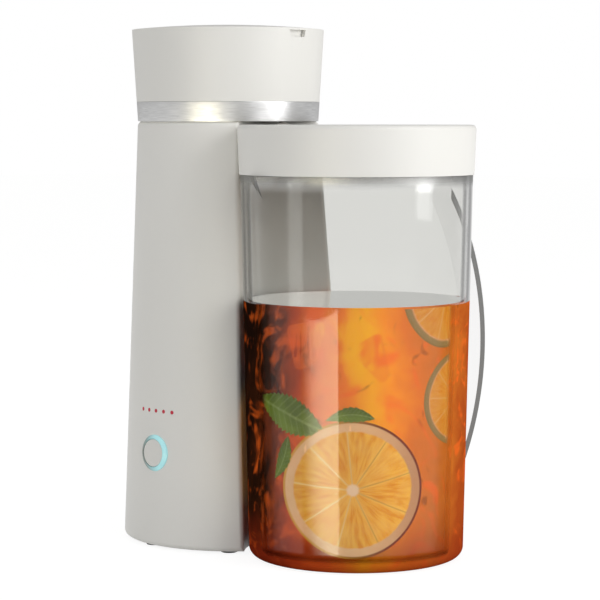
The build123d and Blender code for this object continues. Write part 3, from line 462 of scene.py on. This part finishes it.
# ------------------------------------------------------------------ operators
class TEAMAKER_OT_stage(bpy.types.Operator):
    """Floor, backdrop, lamps and the camera"""

    bl_idname = "teamaker.stage"
    bl_label = "Studio"

    def execute(self, context):
        scene = context.scene
        scene.view_settings.view_transform = "Standard"
        bpy.ops.object.select_all(action="DESELECT")
        bpy.ops.mesh.primitive_plane_add(size=14.0, location=(0, 0, -0.0002))
        floor = context.active_object
        floor.name = "studio_floor"
        f = Finish("studio_floor", base_color=(0.82, 0.82, 0.81), roughness=0.9, specular_ior_level=0.1)
        path = f.node("ShaderNodeLightPath", output="Is Camera Ray")
        glossy = f.node("ShaderNodeLightPath", output="Is Glossy Ray")
        through = f.node("ShaderNodeLightPath", output="Is Transmission Ray")
        seen = (path + glossy + through).clamp()
        white = f.node("ShaderNodeEmission", {}, {"Color": (1, 1, 1), "Strength": 1.19})
        mixed = f.tree.nodes.new("ShaderNodeMixShader")
        f.put(mixed.inputs[0], seen * 0.75)
        f.tree.links.new(f.surface.outputs[0], mixed.inputs[1])
        f.tree.links.new(white.socket, mixed.inputs[2])
        f.tree.links.new(mixed.outputs[0], f.tree.nodes["Material Output"].inputs[0])
        floor.data.materials.append(f.material)

        world = bpy.data.worlds.new("studio")
        scene.world = world
        world.use_nodes = True
        tree = world.node_tree
        back = tree.nodes["Background"]
        lights = tree.nodes.new("ShaderNodeLightPath")
        seen = tree.nodes.new("ShaderNodeMath")
        seen.operation = "MAXIMUM"
        tree.links.new(lights.outputs["Is Camera Ray"], seen.inputs[0])
        tree.links.new(lights.outputs["Is Transmission Ray"], seen.inputs[1])
        level = tree.nodes.new("ShaderNodeMapRange")
        tree.links.new(seen.outputs[0], level.inputs["Value"])
        level.inputs["To Min"].default_value = 0.50
        level.inputs["To Max"].default_value = 1.0
        back.inputs["Color"].default_value = (1, 1, 1, 1)
        tree.links.new(level.outputs[0], back.inputs["Strength"])

        self.lamp("key", 11.5, (1.5, 0.10, 0.75), 1.0, 0.9)
        self.lamp("low_side", 3.5, (1.5, 0.55, 0.32), 0.5, 0.5)
        self.lamp("front_fill", 5.5, (-0.75, -1.70, 0.85), 1.2, 1.0).visible_glossy = False
        self.card("floor_card", 8.5)

        place, pitch, lens = (0.8849, -0.9646, 0.2486), math.radians(4.61), 133.81
        camera = bpy.data.cameras.new("camera")
        camera.lens, camera.sensor_width = lens, 36.0
        camera.clip_start, camera.clip_end = 0.05, 30.0
        seat = bpy.data.objects.new("camera", camera)
        scene.collection.objects.link(seat)
        seat.location = place
        ahead = Vector((-0.679 * math.cos(pitch), 0.734 * math.cos(pitch), -math.sin(pitch)))
        seat.rotation_euler = ahead.to_track_quat("-Z", "Y").to_euler()
        scene.camera = seat
        return {"FINISHED"}

    def lamp(self, name, power, place, wide, high):
        data = bpy.data.lights.new(name, "AREA")
        data.shape, data.size, data.size_y, data.energy = "RECTANGLE", wide, high, power
        obj = bpy.data.objects.new(name, data)
        bpy.context.scene.collection.objects.link(obj)
        obj.location = place
        obj.rotation_euler = (Vector((0, 0, 0.13)) - Vector(place)).to_track_quat("-Z", "Y").to_euler()
        return obj

    def card(self, name, level):
        """Bright wedge on the floor that only reflections see; it draws the band of light on the drink."""
        near, far, lift = 0.001, 1.15, 0.0004
        left, right = math.radians(-19.0), math.radians(23.5)
        start_left, start_right = Vector((0.0605, -0.0754, 0.0)), Vector((0.0817, -0.0658, 0.0))
        bpy.ops.object.select_all(action="DESELECT")
        bpy.ops.mesh.primitive_plane_add(size=1.0)
        obj = bpy.context.active_object
        obj.name = name
        corners = sorted(obj.data.vertices, key=lambda v: (v.co.y, v.co.x))
        for vertex, start, turn, reach in zip(
                corners, (start_left, start_right) * 2, (left, right) * 2, (far, far, near, near)):
            vertex.co = start + Vector((math.sin(turn), -math.cos(turn), 0)) * reach + Vector((0, 0, lift))
        f = Finish(name)
        x, y, z = f.parts(f.spot())
        turn = f.node("ShaderNodeMath", {"operation": "ARCTAN2"}, (x - start_right.x, start_right.y - y))
        strength = turn.step(left - 0.10, left + 0.42) * level
        light = f.node("ShaderNodeEmission", {}, {"Color": (1, 0.94, 0.72), "Strength": strength})
        f.tree.links.new(light.socket, f.tree.nodes["Material Output"].inputs[0])
        obj.data.materials.append(f.material)
        obj.visible_camera = obj.visible_diffuse = obj.visible_shadow = False
        obj.visible_transmission = False


class TEAMAKER_OT_tower(bpy.types.Operator):
    """Tower housing, base and feet"""

    bl_idname = "teamaker.tower"
    bl_label = "Tower"

    def execute(self, context):
        finish = settings()[0]
        shell = satin_plastic("satin_shell", finish.shell)
        dressed("tower_shell", "tower_housing", "tower", "warm_white_plastic", shell, 0.3 * MM)
        dressed("base_plate", "base_cover", "tower", "warm_white_plastic",
                satin_plastic("base_shell", [c * 0.9 for c in finish.shell], 0.55))
        dressed("rubber_feet", "standing_feet", "tower", "dark_rubber",
                soft_rubber("foot_rubber", (0.05, 0.05, 0.05)), 0.4 * MM)
        return {"FINISHED"}


class TEAMAKER_OT_head(bpy.types.Operator):
    """Neck band, head, its lid and what the open lid shows"""

    bl_idname = "teamaker.head"
    bl_label = "Head"

    def execute(self, context):
        finish = settings()[0]
        shell = bpy.data.materials["satin_shell"]
        dressed("metal_band", "neck_band", "tower", "brushed_band",
                brushed_metal("brushed_band", finish.band, HEAD_AXIS), 0.25 * MM)
        dressed("head_housing", "brewing_head", "tower", "warm_white_plastic", shell, 0.25 * MM)
        dressed("head_lid", "head_cover", "head_lid", "warm_white_plastic", shell, 0.3 * MM)
        inner = plain_plastic("inner_white", (0.72, 0.72, 0.70))
        dressed("spray_plate", "spray_disc", "head_lid", "white_inner_plastic", inner, 0.2 * MM)
        dressed("brew_basket", "filter_basket", "tower", "white_inner_plastic", inner, 0.2 * MM)
        coat(bare_metal("fine_screen", (0.6, 0.6, 0.6)), "filter_screen")
        return {"FINISHED"}


class TEAMAKER_OT_controls(bpy.types.Operator):
    """Round button, its lit ring and the five indicator lights"""

    bl_idname = "teamaker.controls"
    bl_label = "Controls"

    def execute(self, context):
        finish = settings()[0]
        dressed("light_ring", "glow_ring", "tower", "ring_light", self.ring(finish), 0.1 * MM)
        dressed("power_button", "round_button", "power_button", "button_plastic",
                satin_plastic("button_satin", [c * 0.97 for c in finish.shell], 0.36), 0.25 * MM)
        dressed("led_lights", "strength_lights", "tower", "light_pipe_red",
                glow("indicator_glow", finish.lights, 0.35), 0.1 * MM)
        return {"FINISHED"}

    def ring(self, finish):
        """Light ring with painted light: glow and a pale cyan on the pitcher's side, where the light falls,
        and painted shade of dark grey with no glow on the far side.
        """
        f = Finish("ring_glow", roughness=0.35, emission_strength=0.34)
        x, y, z = f.parts(f.spot())
        centre = middle("light_ring")
        side = ((x - centre.x) + (z - centre.z) * 0.15) / RING_OUTER_R
        # painted light on the pitcher's side, painted shade on the far side
        lit = side.step(-0.85, 0.35)
        f.set(base_color=f.mix(lit, (0.22, 0.24, 0.21), (0.42, 0.74, 0.77)),
              emission_color=f.mix(lit, (0.0, 0.0, 0.0), finish.ring))
        return f.material


class TEAMAKER_OT_pitcher(bpy.types.Operator):
    """Clear pitcher with its handle and its deep lid"""

    bl_idname = "teamaker.pitcher"
    bl_label = "Pitcher"

    def execute(self, context):
        finish = settings()[0]
        dressed("jug", "clear_pitcher", "pitcher", "clear_plastic", pitcher_wall(finish), angle=35)
        handle = clear_plastic("clear_handle", (0.97, 0.97, 0.97), 0.02, (0.7, 0.7, 0.7), (0.12, 0.12, 0.12))
        bow = dressed("jug_handle", "bow_handle", "pitcher", "clear_plastic", handle, 0.4 * MM)
        # painted shade: the handle's faces towards the right get an opaque dark grey, standing for the dark
        # edge that clear plastic shows there
        bow.data.materials.append(plain_plastic("handle_edge", (0.16, 0.16, 0.155), 0.3))
        edge_side = Vector((0.990, -0.139, 0))
        for face in bow.data.polygons:
            if face.normal.dot(edge_side) > 0.8:
                face.material_index = 1
        dressed("pitcher_lid", "pitcher_cover", "pitcher_lid", "warm_white_plastic",
                bpy.data.materials["satin_shell"], 0.25 * MM)
        return {"FINISHED"}


def wall_radius(z):
    """Inside radius of the pitcher at height z, in metres."""
    return (JUG_FOOT_R + (JUG_RIM_R - JUG_FOOT_R) * z / MM / JUG_RIM_Z - JUG_WALL) * MM


def aside(f, turn):
    """Distance to the right of the pitcher's axis, seen from the direction turn."""
    x, y, z = f.parts(f.spot())
    return (x - JUG_AXIS.x) * math.cos(turn) + (y - JUG_AXIS.y) * math.sin(turn), z


def on_wall(turn, right, z, depth):
    """Point against the pitcher's inner wall, right of the direction turn by right metres."""
    wall = wall_radius(z)
    angle = turn + math.asin(max(-1.0, min(1.0, right / wall)))
    r = wall - depth
    return Vector((JUG_AXIS.x + r * math.sin(angle), JUG_AXIS.y - r * math.cos(angle), z))


class TEAMAKER_OT_drink(bpy.types.Operator):
    """The iced tea with its ice"""

    bl_idname = "teamaker.drink"
    bl_label = "Drink"

    def execute(self, context):
        gap = settings()[1].drink_gap
        low, high = TEA_LOW.z, TEA_HIGH.z
        bpy.ops.object.select_all(action="DESELECT")
        bpy.ops.mesh.primitive_cylinder_add(
            vertices=160, radius=wall_radius(low) - gap, depth=high - low,
            location=(JUG_AXIS.x, JUG_AXIS.y, (low + high) / 2))
        tea = context.active_object
        bpy.ops.object.transform_apply(location=True)
        pick(tea, lambda c, n: n.z > 0.9)
        in_edit(tea)
        grown = (wall_radius(high) - gap) / (wall_radius(low) - gap)
        bpy.ops.transform.resize(value=(grown, grown, 1), center_override=(JUG_AXIS.x, JUG_AXIS.y, high))
        bpy.ops.mesh.inset(thickness=2.2 * MM)
        bpy.ops.mesh.inset(thickness=20 * MM)
        out_of_edit()
        pick(tea, lambda a, b: max(a.z, b.z) < low + 0.0001, "edges")
        in_edit(tea, "EDGE")
        bpy.ops.mesh.bevel(offset=5 * MM, segments=6)
        out_of_edit()
        for vertex in tea.data.vertices:
            vertex.co.z = max(vertex.co.z, low + gap / 3)
        finished(tea, "brewed_tea", "pitcher", "tea", [self.liquid(), self.surface()], "iced_tea", angle=40)
        for face in tea.data.polygons:
            face.material_index = 1 if face.normal.z > 0.3 else 0
        ice = cleaned_copy("ice_cubes")
        for vertex in ice.data.vertices:
            pull_in(vertex, gap * 0.92)
        modifier(ice, "BEVEL", width=0.8 * MM, segments=3, limit_method="ANGLE",
                 angle_limit=math.radians(30), use_clamp_overlap=True)
        finished(ice, "ice_lumps", "pitcher", "ice", self.liquid("ice_in_tea", 0.10), "ice_cubes")
        return {"FINISHED"}

    def surface(self):
        """Top of the tea: a mirror at a low angle with a pale painted sheen that glows there, tea from above.
        """
        f = Finish("tea_surface", roughness=0.04)
        facing = f.node("ShaderNodeLayerWeight", {}, {"Blend": 0.5}, output="Facing")
        low_angle = facing.step(0.55, 0.86)
        # painted sheen: at a low angle the top also emits a pale light
        f.set(base_color=f.mix(low_angle, (0.42, 0.12, 0.02), (0.93, 0.93, 0.91)), metallic=low_angle,
              emission_color=(0.9, 0.9, 0.88), emission_strength=low_angle * 0.22)
        f.bump(f.noise(90.0, 2.0), 0.0002, 0.2)
        return f.material

    def liquid(self, name="brewed_tea", lighter=0.0):
        f = Finish(name, roughness=0.25, specular_ior_level=0.06)
        colour, small = tea_colour(f, lighter)
        # painted glow: the drink and the ice emit their own colour, though they are no lamp
        f.set(base_color=colour, emission_color=colour, emission_strength=0.22)
        f.bump(small, 0.0006, 0.25)
        return f.material


def pull_in(vertex, gap):
    """Moves a vertex towards the pitcher's axis."""
    out = vertex.co - JUG_AXIS
    radius = math.hypot(out.x, out.y)
    shrink = (radius - gap) / radius
    vertex.co.x, vertex.co.y = JUG_AXIS.x + out.x * shrink, JUG_AXIS.y + out.y * shrink


# direction, height, radius and sideways shift of the citrus slices, as they lie in the pitcher
BIG_SLICE = (42.8, 46.7, 38.4, -3.3)
SIDE_SLICES = (
    (95.0, 153.0, 30.0, 0.0), (105.0, 94.0, 26.0, 0.0), (207.0, 70.0, 34.0, 0.0), (300.0, 60.0, 33.0, 0.0))
SEGMENTS = 9
SEGMENT_SHIFT = 0.61        # place of the first membrane, as a share of a segment
PITH = 0.848                # outer radius of the flesh, as a share of the slice
SLICE_THICKNESS, LEAF_THICKNESS = 4.6 * MM, 1.0 * MM
# direction, height, length, width, tilt and arch of the leaves
LEAVES = (
    (1.5, 87.5, 50.0, 22.0, -19.0, 1.0),
    (38.0, 88.4, 27.0, 9.0, 3.0, 3.0),
    (-1.0, 61.5, 27.0, 10.0, 66.0, -2.0))


class TEAMAKER_OT_fruit(bpy.types.Operator):
    """Citrus slices and mint leaves against the pitcher's wall"""

    bl_idname = "teamaker.fruit"
    bl_label = "Fruit and mint"

    def execute(self, context):
        finish, sizes = settings()
        for number, place in enumerate((BIG_SLICE, *SIDE_SLICES)):
            self.slice_of_citrus(finish, sizes, number, place)
        for number, place in enumerate(LEAVES):
            self.leaf(finish, sizes, number, place)
        return {"FINISHED"}

    def slice_of_citrus(self, finish, sizes, number, place):
        turn, z, radius, off = math.radians(place[0]), place[1] * MM, place[2] * MM, place[3] * MM
        bpy.ops.object.select_all(action="DESELECT")
        bpy.ops.mesh.primitive_circle_add(vertices=144, radius=1.0, fill_type="NGON")
        piece = bpy.context.active_object
        pick(piece, lambda c, n: True)
        in_edit(piece)
        rings = 20
        for step in range(rings):
            bpy.ops.mesh.inset(thickness=(0.985 if step else 1.0) / (rings + 1))
        out_of_edit()
        ceiling = TEA_HIGH.z - 1.2 * MM
        for vertex in piece.data.vertices:
            rho = min(1.0, math.hypot(vertex.co.x, vertex.co.y))
            around = math.atan2(vertex.co.y, vertex.co.x)
            height = z + rho * radius * math.sin(around)
            depth = sizes.fruit_gap + self.relief(rho, around)
            vertex.co = on_wall(turn, off + rho * radius * math.cos(around), height, depth)
        in_edit(piece)
        bpy.ops.mesh.select_all(action="SELECT")
        bpy.ops.mesh.bisect(plane_co=(0, 0, ceiling), plane_no=(0, 0, 1), clear_outer=True)
        out_of_edit()
        modifier(piece, "SOLIDIFY", thickness=SLICE_THICKNESS, offset=-1.0)
        in_edit(piece)
        bpy.ops.mesh.select_all(action="SELECT")
        bpy.ops.mesh.remove_doubles(threshold=0.00001)
        bpy.ops.mesh.normals_make_consistent(inside=False)
        out_of_edit()
        material = self.citrus(finish, f"citrus_{number}", turn, z, radius, off, number > 0)
        finished(piece, f"citrus_round_{number}", "pitcher", "citrus", material, "citrus_slices", angle=50)

    def relief(self, rho, around):
        """Depth of a slice's face: round peel edge, flat pith, plump segments between grooves."""
        if rho > 0.94:
            return 0.18 * MM * ((rho - 0.94) / 0.06) ** 2
        if rho > PITH:
            return 0.0
        wedge = abs((around / (2 * math.pi / SEGMENTS) + SEGMENT_SHIFT) % 1.0 - 0.5) * 2
        groove = max(0.0, (wedge * max(rho, 0.25) ** 0.3 - 0.86) / 0.14)
        rim = max(0.0, (rho - PITH + 0.05) / 0.05)
        return 0.04 * MM + 0.16 * MM * max(groove, rim)

    def citrus(self, finish, name, turn, middle_z, radius, off, sunk):
        f = Finish(name, roughness=0.32, specular_ior_level=0.12)
        right, z = aside(f, turn)
        right, up = right - off, z - middle_z
        rho = (right * right + up * up).root() / radius
        around = f.node("ShaderNodeMath", {"operation": "ARCTAN2"}, (up, right))
        wedge = ((around / (2 * math.pi / SEGMENTS) + SEGMENT_SHIFT).maths("FRACT") - 0.5).size() * 2.0
        cells = f.noise(1.0, 3.0, f.vector(around * 12.0, rho * 4.0, float(len(name))))
        broad = f.noise(70.0, 2.0)
        flesh = f.mix(cells.step(0.3, 0.7), (0.84, 0.33, 0.012), (0.96, 0.55, 0.06))
        flesh = f.mix(broad.step(0.4, 0.7) * 0.4, flesh, (0.98, 0.66, 0.14))
        gap = (1.0 - wedge) * rho
        # painted light: membrane lines pale on the left half, darker on the right
        side = (right / radius).step(-0.3, 0.3)
        line = f.mix(side, (0.98, 0.74, 0.30), (0.68, 0.38, 0.06))
        colour = f.mix((1.0 - gap.step(0.02, 0.16)) * 0.4, flesh, (0.98, 0.68, 0.14))
        colour = f.mix((1.0 - gap.step(0.012, 0.042)) * 0.85, colour, line)
        ragged = rho + (cells - 0.5) * 0.03
        pith = f.mix(f.noise(160.0, 2.0), (0.86, 0.52, 0.24), (0.95, 0.68, 0.38))
        # the pith turns brown towards the right: partly the peel's side seen at an angle, partly painted
        # shade
        pith = f.mix((right / radius).step(0.0, 1.0) * 0.75, pith, (0.47, 0.20, 0.09))
        colour = f.mix(ragged.step(PITH - 0.02, PITH + 0.015), colour, pith)
        colour = f.mix(1.0 - (rho + (cells - 0.5) * 0.05).step(0.06, 0.11), colour, (0.95, 0.74, 0.50))
        # the rind is near black on the right: partly the peel's side, partly painted shade
        skin = f.mix((right / radius).step(-0.6, 0.6), finish.rind, (0.22, 0.035, 0.008))
        colour = f.mix(rho.step(0.955, 0.975), colour, skin)
        if sunk:
            colour = f.mix(0.55, colour, (0.66, 0.20, 0.02))
            colour = f.mix(rho.step(PITH, PITH + 0.05) * 0.8, colour, (0.25, 0.19, 0.06))
        # painted glow: the slices emit their own colour, though they are no lamp
        f.set(base_color=colour, emission_color=colour, emission_strength=0.10 if sunk else 0.16)
        f.bump(cells, 0.0003, 0.3)
        return f.material

    def leaf(self, finish, sizes, number, place):
        turn, z, length, width, tilt, arch = place
        turn, tilt = math.radians(turn), math.radians(tilt)
        bpy.ops.object.select_all(action="DESELECT")
        bpy.ops.mesh.primitive_grid_add(x_subdivisions=96, y_subdivisions=24, size=2.0)
        piece = bpy.context.active_object
        teeth = round(length / 3.2)
        for vertex in piece.data.vertices:
            s, t = vertex.co.x, vertex.co.y
            outline = (max(0.0, 1 - abs(s) ** 1.8)) ** 0.92 * (1 + 0.20 * s)
            saw = ((s + 1) / 2 * teeth) % 1.0
            outline *= 1 - 0.20 * saw * abs(t) ** 3
            along, across = s * length / 2 * MM, (t * outline * width / 2 - arch * s * s) * MM
            up = along * math.sin(tilt) + across * math.cos(tilt)
            right = along * math.cos(tilt) - across * math.sin(tilt)
            rib = max(0.0, 1 - abs(t) * 9)
            vein = 1 - abs(((s * 5.5 - abs(t) * 1.6) % 1.0) - 0.5) * 2
            depth = sizes.fruit_gap + (0.06 + 0.14 * max(rib, vein ** 4 * (1 - abs(t)))) * MM
            vertex.co = on_wall(turn, right, z * MM + up, depth)
        modifier(piece, "SOLIDIFY", thickness=LEAF_THICKNESS, offset=-1.0)
        in_edit(piece)
        bpy.ops.mesh.select_all(action="SELECT")
        bpy.ops.mesh.remove_doubles(threshold=0.00001)
        bpy.ops.mesh.normals_make_consistent(inside=False)
        out_of_edit()
        material = self.mint(finish, f"mint_{number}", turn, z * MM, length * MM, width * MM, tilt, arch * MM)
        finished(piece, f"mint_leaf_{number}", "pitcher", "mint", material, "mint_leaves", angle=60)

    def mint(self, finish, name, turn, middle_z, length, width, tilt, arch):
        f = Finish(name, roughness=0.45, specular_ior_level=0.15)
        right, z = aside(f, turn)
        up = z - middle_z
        along = (right * math.cos(tilt) + up * math.sin(tilt)) / (length / 2)
        across = (up * math.cos(tilt) - right * math.sin(tilt) + along * along * arch) / (width / 2)
        warp = f.noise(180.0, 2.0)
        rib = 1.0 - across.size().step(0.02, 0.12)
        vein = ((along * 5.5 - across.size() * 1.6 + (warp - 0.5) * 0.25).maths("FRACT") - 0.5).size() * 2.0
        vein = 1.0 - vein.step(0.0, 0.35)
        patch = f.noise(95.0, 3.0)
        colour = f.mix(patch.step(0.3, 0.7), [c * 0.62 for c in finish.leaf], finish.leaf)
        # painted shade: the leaf darkens towards one edge and one end
        shade = (across * 0.6 + along * 0.35 + 0.25).clamp() * 0.6
        colour = f.mix(shade, colour, [c * 0.35 for c in finish.leaf])
        colour = f.mix((vein * 0.35 + rib * 0.55).clamp(), colour, (0.40, 0.52, 0.15))
        f.set(base_color=colour)
        f.bump(f.noise(420.0, 3.0) * 0.5 + vein * -0.5, 0.0004, 0.6)
        return f.material


class TEAMAKER_OT_inner_works(bpy.types.Operator):
    """Finishes of the pieces inside the tower"""

    bl_idname = "teamaker.inner_works"
    bl_label = "Inner works"

    def execute(self, context):
        white = bpy.data.materials["inner_white"]
        coat(white, "outlet_nozzle", "valve_cage", "check_valve", "riser_tube", "button_guide",
             "terminal_block", "water_tank", "tower_deck")
        coat(soft_rubber("silicone", (0.62, 0.61, 0.57)), "drip_valve", "tank_gasket", "tank_hose",
             "heater_inlet_hose", "heater_outlet_hose", "riser_seal", "heater_pads", "cap_gasket")
        coat(bare_metal("screw_steel", (0.62, 0.62, 0.62)), "base_screws", "head_screws", "tank_screws",
             "heater_screws", "board_screws", "hinge_pin", "valve_spring", "heating_element", "thermal_fuse")
        coat(bare_metal("cast_aluminium", (0.5, 0.5, 0.5), 0.55), "heater_casting", "heater_tube")
        coat(plain_plastic("circuit_green", (0.02, 0.16, 0.06), 0.4), "control_board")
        coat(plain_plastic("dark_moulding", (0.04, 0.04, 0.04)),
             "push_switch", "switch_plunger", "thermostat")
        coat(soft_rubber("cord_grommet", (0.05, 0.05, 0.05)), "cord_grommet")
        return {"FINISHED"}


PIECES = (
    TEAMAKER_OT_stage, TEAMAKER_OT_tower, TEAMAKER_OT_head, TEAMAKER_OT_controls, TEAMAKER_OT_pitcher,
    TEAMAKER_OT_drink, TEAMAKER_OT_fruit, TEAMAKER_OT_inner_works,
)


class TEAMAKER_PT_panel(bpy.types.Panel):
    """Lists the pieces and their settings"""

    bl_idname = "TEAMAKER_PT_panel"
    bl_label = "Tea Maker"
    bl_space_type = "VIEW_3D"
    bl_region_type = "UI"
    bl_category = "Tea Maker"

    def draw(self, context):
        for group in settings():
            for key in group.bl_rna.properties.keys():
                if key not in ("rna_type", "name"):
                    self.layout.prop(group, key)
        for piece in PIECES:
            self.layout.operator(piece.bl_idname)


CLASSES = (TeaMakerFinish, TeaMakerSizes, *PIECES, TEAMAKER_PT_panel)


def register():
    for cls in CLASSES:
        bpy.utils.register_class(cls)
    bpy.types.Scene.tea_maker_finish = bpy.props.PointerProperty(type=TeaMakerFinish)
    bpy.types.Scene.tea_maker_sizes = bpy.props.PointerProperty(type=TeaMakerSizes)


def unregister():
    del bpy.types.Scene.tea_maker_finish
    del bpy.types.Scene.tea_maker_sizes
    for cls in reversed(CLASSES):
        bpy.utils.unregister_class(cls)


def main():
    register()
    for piece in PIECES:
        group, action = piece.bl_idname.split(".")
        getattr(getattr(bpy.ops, group), action)()


if __name__ == "__main__":
    main()
